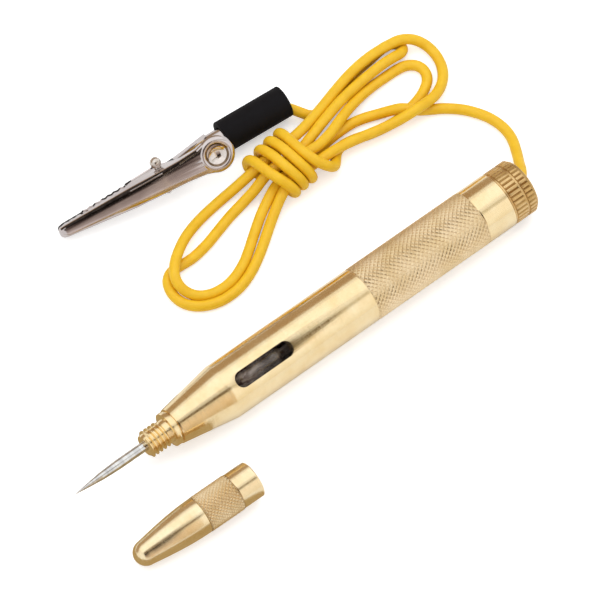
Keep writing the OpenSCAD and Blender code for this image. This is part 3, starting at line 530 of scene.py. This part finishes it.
barrelBody = turnProfile("barrel_body", barrel["outline"], barrel["steps"])
cutWindow(barrelBody)
softenEdges(barrelBody, barrel["edge"])
smoothShade(barrelBody)
barrelBody.data.materials.append(barrelBrass)
# The bore's inner faces take the painted shade
paintFaces(barrelBody, boreShadeBrass, inBore)
thread = noseThread()
smoothShade(thread, angle=40)
thread.data.materials.append(barrelBrass)
grip = knurlTube("grip_knurl", **barrel["grip"])
grip.data.materials.append(knurlBrass)
joinInto(barrelBody, thread, grip)
barrelBody.location = axisPlace
settle(barrelBody)
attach(barrelBody, "light")
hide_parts("barrel")
print("stage: barrel")

# Nose cap: turned from bar, lying on its knurl and its tip on the floor before the nose
noseCap = {
    "steps": 80, "edge": 0.06, "tip": 2.8, "taper": 13.8, "swell": 1.35,
    "rear": [
        (16.75, 3.93), (25.25, 3.93),  # under the knurl
        (25.25, 4.08), (25.5, 4.08), (29.9, 4.08), (30.1, 4.08), (30.4, 3.75),  # rim
        (30.4, 3.1), (28.7, 3.1), (28.7, 2.46), (23.7, 2.46),  # mouth and thread's bore
        (23.7, 1.6), (5.4, 1.6), (4.44, pole),  # the needle's hole
    ],
    "band": {"start": 16.75, "end": 25.25, "radius": 3.98, "columns": 27, "rows": 19,
             "inset": 0.23, "rise": 0.23},
    "place": (-41.1, -10.4), "height": 4.25, "pitch": 3.2663, "yaw": -1.8,
}


# A ball tip, a taper that swells like a quarter of a sine wave, then the straight points
def capProfile():
    tip = noseCap["tip"]
    turns = [math.radians(a) for a in range(0, 86, 8)]
    outer = [(tip - tip * math.cos(a), max(tip * math.sin(a), pole)) for a in turns]
    outer += [(tip + noseCap["taper"] * i / 10, tip + noseCap["swell"] * math.sin(math.radians(9 * i)))
              for i in range(11)]
    return outer + noseCap["rear"]


capBody = turnProfile("cap_body", capProfile(), noseCap["steps"])
softenEdges(capBody, noseCap["edge"])
smoothShade(capBody)
capBody.data.materials.append(capBrass)
capKnurl = knurlTube("cap_knurl", **noseCap["band"])
capKnurl.data.materials.append(knurlBrass)
joinInto(capBody, capKnurl)
tilt = turnBy(noseCap["yaw"], "Z") @ turnBy(-noseCap["pitch"], "Y")
capBody.matrix_world = (moveBy(*noseCap["place"], 0) @ tilt
                        @ moveBy(-noseCap["band"]["start"], 0, noseCap["height"]))
settle(capBody)
capBody.name = capBody.data.name = "nose_cap_turned"
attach(capBody, "light")
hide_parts("nose_cap")
print("stage: nose cap")


# Pieces that keep the CAD shape and their node's finish: copied, merged and given small rounded edges
def dressNode(node, name, body, width, shape=None):
    pickOnly(nodes[node])
    bpy.ops.object.duplicate()
    obj = nameIt(name)
    for key in list(obj.keys()):
        del obj[key]  # the frame's own marks
    obj.parent = None
    bpy.ops.object.mode_set(mode="EDIT")
    bpy.ops.mesh.select_all(action="SELECT")
    bpy.ops.mesh.remove_doubles(threshold=weld)
    bpy.ops.mesh.dissolve_limited(angle_limit=math.radians(0.6))  # flat stretches become one face
    bpy.ops.object.mode_set(mode="OBJECT")
    if shape:
        shape(obj)
    softenEdges(obj, width)
    smoothShade(obj)
    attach(obj, body)
    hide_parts(node)
    return obj


# Vinyl sleeve: a plain tube with rounded lips, its bore wider behind the crimp where the lead leaves
sleeveTube = {
    "front": (18.36, 57.55, 3.5), "along": (0.9949, -0.0955, 0.0372), "steps": 64, "edge": 0.22,
    "outline": [(0, 2.2), (0, 3.5), (15.6, 3.5), (15.6, 2.75), (11.4, 2.75), (11.0, 2.2)],
}
sleeve = turnProfile("vinyl_clip_sleeve", sleeveTube["outline"], sleeveTube["steps"])
softenEdges(sleeve, sleeveTube["edge"], segments=4)
smoothShade(sleeve)
sleeve.rotation_euler = Vector(sleeveTube["along"]).to_track_quat("X", "Z").to_euler()
sleeve.location = Vector(sleeveTube["front"]) * mm
settle(sleeve)
sleeve.data.materials.append(blackVinyl)
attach(sleeve, "light")
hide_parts("clip_sleeve")

# End cap: the flanks of its flutes are browner and duller, its ridges are bare
flutes = {"edge": 0.05, "root": 5.7, "endOn": 0.5, "facing": 0.93}


def onFlute(face):
    spoke = Vector((0, face.center.y - axisPlace[1], face.center.z - axisPlace[2]))
    aside = face.normal.dot(spoke.normalized()) < flutes["facing"]
    return spoke.length > flutes["root"] * mm and abs(face.normal.x) < flutes["endOn"] and aside


endCap = dressNode("end_cap", "fluted_end_cap", "end_cap", flutes["edge"])
paintFaces(endCap, fluteBrass, onFlute)

# The clip's own frame: its pin lies along Y through the origin, its jaws point to minus X, its plate is up.
# A place in it is u along, v across and w up, in mm
clip = {
    "at": (2.0, 56.7, 5.2531), "roll": 46.0, "pitch": 7.0, "yaw": -10.5, "edge": 0.06,
    "halfWidth": 2.57, "taper": 0.051, "plate": 3.1, "slope": 0.061, "depth": 0.8,
    "plateEnd": 8.6, "lineEnd": 8.7, "flatness": 0.9, "reach": 0.02,
    "crown": 0.26, "lines": (-0.85, -0.6, -0.3, 0.0, 0.3, 0.6, 0.85),
    "crownEnds": (-24.6, 10), "crownFades": (2, 4), "leastFade": 0.3,
    "lip": {"start": -19, "end": 1.5, "inner": 0.9, "top": 2, "facing": -0.4, "out": 0.26, "down": 0.2},
    "bend": {"end": 8.5, "inner": 0.9, "up": (0.3, 0.97), "across": 0.2},
    "lowerFlank": {"end": 1, "inner": 0.5, "foot": -2.4},
}
clipAt = Vector(clip["at"])
clipTurn = turnBy(clip["yaw"], "Z") @ turnBy(-clip["pitch"], "Y") @ turnBy(clip["roll"], "X")
clipPlace = moveBy(*clip["at"]) @ clipTurn
alongClip, acrossClip, upClip = clipTurn.to_3x3().col[:]


def inClip(place):
    away = place / mm - clipAt
    return [away.dot(axis) for axis in (alongClip, acrossClip, upClip)]


def plateHalf(u):
    return clip["halfWidth"] + clip["taper"] * u


def inPlate(u, w):
    return w > clip["plate"] + clip["slope"] * min(u, 0) - clip["depth"]


def nearestHalf(u):
    return round(u * 2) / 2


# The dome's height in mm at u, on the line that lies k half widths from the middle
def crownHeight(k, u):
    (front, rear), (frontFade, rearFade) = clip["crownEnds"], clip["crownFades"]
    fade = min(1, max(clip["leastFade"], (u - front) / frontFade))
    fade *= min(1, max(clip["leastFade"], (rear - u) / rearFade))
    return clip["crown"] * (1 - k * k) * fade * plateHalf(u) / clip["halfWidth"]


# The pressed top of the jaw is slightly domed across: it is cut lengthwise,
# and each line is raised to its height on the curve
def crownPlate(obj):
    def onPlate(face):
        u, v, w = inClip(face.center)
        flat = abs(face.normal.dot(upClip)) > clip["flatness"]
        return flat and u < clip["plateEnd"] and inPlate(u, w)

    for k in clip["lines"]:
        pickParts(obj, "FACE", onPlate)
        bpy.ops.mesh.bisect(plane_co=(clipAt + acrossClip * k * clip["halfWidth"]) * mm,
                            plane_no=acrossClip - alongClip * k * clip["taper"])
        bpy.ops.object.mode_set(mode="OBJECT")
    for k in clip["lines"]:
        spots = [inClip(v.co) for v in obj.data.vertices]
        fits = [abs(v - k * plateHalf(u)) < clip["reach"] and u < clip["lineEnd"] and inPlate(u, w)
                for u, v, w in spots]
        for stop in sorted({nearestHalf(spot[0]) for spot, fit in zip(spots, fits) if fit}):
            pickParts(obj, "VERT", lambda p: fits[p.index] and nearestHalf(spots[p.index][0]) == stop)
            bpy.ops.transform.translate(value=upClip * crownHeight(k, stop) * mm)
            bpy.ops.object.mode_set(mode="OBJECT")


# The far flank's toothed edge stands out a little, its face painted near black as the shade between the jaws.
# Of the walls beside it, those that the extrude numbers last take the painted shade too, and which they are
# differs a little from run to run
def lipFlank(obj):
    lip = clip["lip"]

    def onEdge(face):
        u, v, w = inClip(face.center)
        inPlace = lip["start"] < u < lip["end"] and v > lip["inner"] and w < lip["top"]
        return inPlace and face.normal.dot(upClip) < lip["facing"]

    pickParts(obj, "FACE", onEdge)
    first = len(obj.data.polygons)
    out = (acrossClip * lip["out"] - upClip * lip["down"]) * mm
    bpy.ops.mesh.extrude_region_move(TRANSFORM_OT_translate={"value": out})
    bpy.ops.object.mode_set(mode="OBJECT")
    paintFaces(obj, flankShadeSteel, lambda face: face.select or face.index >= first)


def shapeUpper(obj):
    crownPlate(obj)
    lipFlank(obj)


def onFarBend(face):
    bend = clip["bend"]
    u, v, w = inClip(face.center)
    across, up = face.normal.dot(acrossClip), face.normal.dot(upClip)
    inPlace = u < bend["end"] and v > bend["inner"] and w > 0
    return inPlace and across > bend["across"] and bend["up"][0] < up < bend["up"][1]


def onLowerFlank(face):
    flank = clip["lowerFlank"]
    u, v, w = inClip(face.center)
    return u < flank["end"] and v > flank["inner"] and w > flank["foot"]


lowerJaw = dressNode("clip_lower_jaw", "pressed_lower_jaw", "light", clip["edge"])
# The lower jaw's far flank takes the painted shade between the jaws
paintFaces(lowerJaw, flankShadeSteel, onLowerFlank)
upperJaw = dressNode("clip_upper_jaw", "pressed_upper_jaw", "clip_upper_jaw", clip["edge"],
                     shapeUpper)
# The far side of the jaw's bend takes the painted dark reflection
paintFaces(upperJaw, bendReflectionNickel, onFarBend)

# The pad's polished dish and rolled rim, turned and laid over the pressed pad
pad = {
    "at": (12.0, 0.0, 3.1), "steps": 72, "dish": 2.15, "wall": 2.6,
    "outline": [
        (-1.17, pole), (-1.15, 0.35), (-1.08, 0.75), (-0.96, 1.1), (-0.78, 1.45), (-0.54, 1.8), (-0.3, 2.12),
        (-0.12, 2.3), (0.05, 2.55), (0.2, 2.72), (0.27, 2.95), (0.24, 3.2), (0.12, 3.45), (-0.08, 3.7),
        (-0.36, 3.94), (-0.8, 4.04), (-0.8, 3.5), (-0.62, 3.1), (-1.0, 1.9), (-1.25, 1.2), (-1.35, pole),
    ],
}


def inDish(face, inner, outer):
    x, y, z = face.center / mm
    return inner <= math.hypot(y, z) < outer and face.normal.x > 0


padRim = turnProfile("polished_pad", pad["outline"], pad["steps"])
smoothShade(padRim, angle=50)
padRim.data.materials.append(clipNickel)
paintFaces(padRim, dishNickel, lambda face: inDish(face, 0, pad["dish"]))
# The ring between the dish and the rim takes the painted shade
paintFaces(padRim, dishWallShade, lambda face: inDish(face, pad["dish"], pad["wall"]))
padRim.matrix_world = clipPlace @ moveBy(*pad["at"]) @ turnBy(-90, "Y")
settle(padRim)
joinInto(upperJaw, padRim)

# Pin: a straight shank with a ball head on the far side and a small riveted nub on the near one
pin = {
    "steps": 40, "shank": [(-3.4, pole), (-3.4, 0.5), (-3.2, 0.75), (2.8, 0.75)],
    "ballMiddle": 3.8, "ballRadius": 1.22,
}


def pinProfile():
    middle, r = pin["ballMiddle"], pin["ballRadius"]
    turns = [math.radians(a) for a in range(38, 180, 12)]
    ball = [(middle - r * math.cos(a), r * math.sin(a)) for a in turns]
    return pin["shank"] + ball + [(middle + r, pole)]


pinHead = turnProfile("domed_clip_pin", pinProfile(), pin["steps"])
smoothShade(pinHead, angle=50)
pinHead.matrix_world = clipPlace @ turnBy(90, "Z")
settle(pinHead)
pinHead.data.materials.append(pinNickel)
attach(pinHead, "light")
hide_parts("clip_pin")
print("stage: clip")

# Floor, world and lights, in m; angles are from straight up, minus on the camera's side
studio = {
    "floorSize": 3.0, "floorLift": 0.45, "worldFill": 0.74, "middle": 0.02,
    "lamp": {"beta": 12, "distance": 0.8, "width": 1.4, "height": 0.74, "brightness": 1.2},
}
bpy.ops.object.select_all(action="DESELECT")
bpy.ops.mesh.primitive_plane_add(size=studio["floorSize"], location=(0, 0, 0))
floor = nameIt("studio_floor")
# Dead matt paper, lifted to white where the camera sees it straight or through glass
paper, tree, shader = newMaterial("white_sweep_paper", "#f4f4f4", 0.0, 1.0, Specular_IOR_Level=0.0)
rays = addNode(tree, "LightPath")
seen = addNode(tree, "Math", {"operation": "MAXIMUM"},
               {0: rays.outputs["Is Camera Ray"], 1: rays.outputs["Is Transmission Ray"]})
lift = addNode(tree, "Math", {"operation": "MULTIPLY", 1: studio["floorLift"]}, {0: seen.outputs[0]})
glow = addNode(tree, "Emission", {"Color": (1, 1, 1, 1)}, {"Strength": lift.outputs[0]})
both = addNode(tree, "AddShader", links={0: shader.outputs[0], 1: glow.outputs[0]})
tree.links.new(both.outputs[0], tree.nodes["Material Output"].inputs["Surface"])
floor.data.materials.append(paper)

# The world fills softly, and is plain white to the camera, to gloss and through glass
world = bpy.data.worlds.new("studioWorld")
bpy.context.scene.world = world
world.use_nodes = True
tree = world.node_tree
rays = addNode(tree, "LightPath")
direct = addNode(tree, "Math", {"operation": "MAXIMUM"},
                 {0: rays.outputs["Is Camera Ray"], 1: rays.outputs["Is Glossy Ray"]})
clear = addNode(tree, "Math", {"operation": "MAXIMUM"},
                {0: direct.outputs[0], 1: rays.outputs["Is Transmission Ray"]})
fill = addNode(tree, "MapRange", {"To Min": studio["worldFill"], "To Max": 1.0}, {"Value": clear.outputs[0]})
tree.nodes["Background"].inputs["Color"].default_value = (1, 1, 1, 1)
tree.links.new(fill.outputs["Result"], tree.nodes["Background"].inputs["Strength"])


def around(beta, distance):
    a = math.radians(beta)
    return (math.sin(a) * distance, math.cos(a) * distance)


# An area lamp whose face has the given brightness, aimed at the object
def addSoftbox(name, beta, distance, width, height, brightness):
    place = Vector((0, *around(beta, distance)))
    bpy.ops.object.light_add(type="AREA", location=place)
    lamp = bpy.context.object
    lamp.name = lamp.data.name = name
    lamp.data.shape = "RECTANGLE"
    lamp.data.size, lamp.data.size_y = width, height
    lamp.data.energy = brightness * math.pi * width * height
    aim = Vector((0.0, studio["middle"], 0.0)) - place
    lamp.rotation_euler = aim.to_track_quat("-Z", "Y").to_euler()
    return lamp


# A card that only the gloss of the metal sees, as those round a product table: from left to right along X,
# facing the line over the given middle, its colours running from its low edge to its high one
def addCard(name, beta, distance, left, right, height, gain, stops, middle=studio["middle"]):
    bpy.ops.object.select_all(action="DESELECT")
    bpy.ops.mesh.primitive_plane_add(size=1)
    card = nameIt(name)
    card.scale = (right - left, height, 1)
    y, z = around(beta, distance)
    card.rotation_euler = Vector((0, -y, -z)).to_track_quat("-Z", "Y").to_euler()
    card.location = ((left + right) / 2, y + middle, z)
    card.visible_camera = card.visible_diffuse = card.visible_shadow = False
    card.visible_transmission = card.visible_volume_scatter = False
    felt, tree, shader = newMaterial(name + "_felt", stops[0][1], 0.0, 1.0)
    where = addNode(tree, "TexCoord")
    split = addNode(tree, "SeparateXYZ", links={"Vector": where.outputs["Object"]})
    shift = addNode(tree, "Math", {"operation": "ADD", 1: 0.5}, {0: split.outputs["Y"]})
    ramp = addNode(tree, "ValToRGB", links={"Fac": shift.outputs[0]})
    while len(ramp.color_ramp.elements) < len(stops):
        ramp.color_ramp.elements.new(0.5)
    for spot, (position, color) in zip(ramp.color_ramp.elements, stops):
        spot.position, spot.color = position, linear(color)
    glow = addNode(tree, "Emission", {"Strength": gain}, {"Color": ramp.outputs["Color"]})
    tree.links.new(glow.outputs[0], tree.nodes["Material Output"].inputs["Surface"])
    card.data.materials.append(felt)


cards = {
    "top_card": {"beta": 12, "distance": 0.8, "left": -0.7, "right": 1.1, "height": 0.74, "gain": 1.22,
                 "stops": [(0.0, "#ffffff"), (1.0, "#ffffff")]},
    "barrel_card": {"beta": -30, "distance": 0.7, "left": 0.12, "right": 0.9, "height": 0.13, "gain": 1.0,
                    "stops": [(0.0, "#d6d0c4"), (1.0, "#d6d0c4")]},
    "cone_card": {"beta": -30, "distance": 0.7, "left": -0.08, "right": 0.12, "height": 0.13, "gain": 1.0,
                  "stops": [(0.0, "#6b5a3c"), (1.0, "#6b5a3c")]},
    "front_card": {"beta": -62, "distance": 0.9, "left": 0.1, "right": 1.2, "height": 0.9, "gain": 1.13,
                   "stops": [(0.0, "#eeeae2"), (0.4, "#fbfaf8"), (1.0, "#ffffff")]},
    "cone_front_card": {"beta": -62, "distance": 0.9, "left": -0.09, "right": 0.1, "height": 0.9, "gain": 1.0,
                        "stops": [(0.0, "#cfb899"), (0.5, "#f4e0c8"), (1.0, "#fdf0df")]},
    # Its dark band, past the middle, is mirrored along the clip's far side
    "clip_card": {"beta": -48, "distance": 1.5, "left": -1.3, "right": -0.09, "height": 2.52, "gain": 1.0,
                  "stops": [(0.0, "#f5ebe5"), (0.128, "#f5ebe5"), (0.272, "#c5b5ab"), (0.363, "#b4a59d"),
                            (0.44, "#a99b92"), (0.479, "#8a7b73"), (0.52, "#66564e"), (0.57, "#342a25"),
                            (0.615, "#120e0b"), (0.69, "#1c1612"), (0.74, "#8a7a6a")]},
    "back_card": {"beta": 78, "distance": 0.7, "left": -1.2, "right": 1.2, "height": 0.75, "gain": 1.0,
                  "stops": [(0.0, "#b29a80"), (1.0, "#b29a80")]},
    # Flat on the floor by the nose and the cap, seen only in the gloss of their undersides
    "low_card": {"beta": 0, "distance": 0.0004, "left": -0.11, "right": -0.026, "height": 0.09, "gain": 1.0,
                 "middle": -0.02, "stops": [(0.0, "#b6a27c"), (1.0, "#b6a27c")]},
}
topLamp = addSoftbox("top_softbox", **studio["lamp"])
topLamp.visible_glossy = False
for name, card in cards.items():
    addCard(name, **card)
print("stage: light")
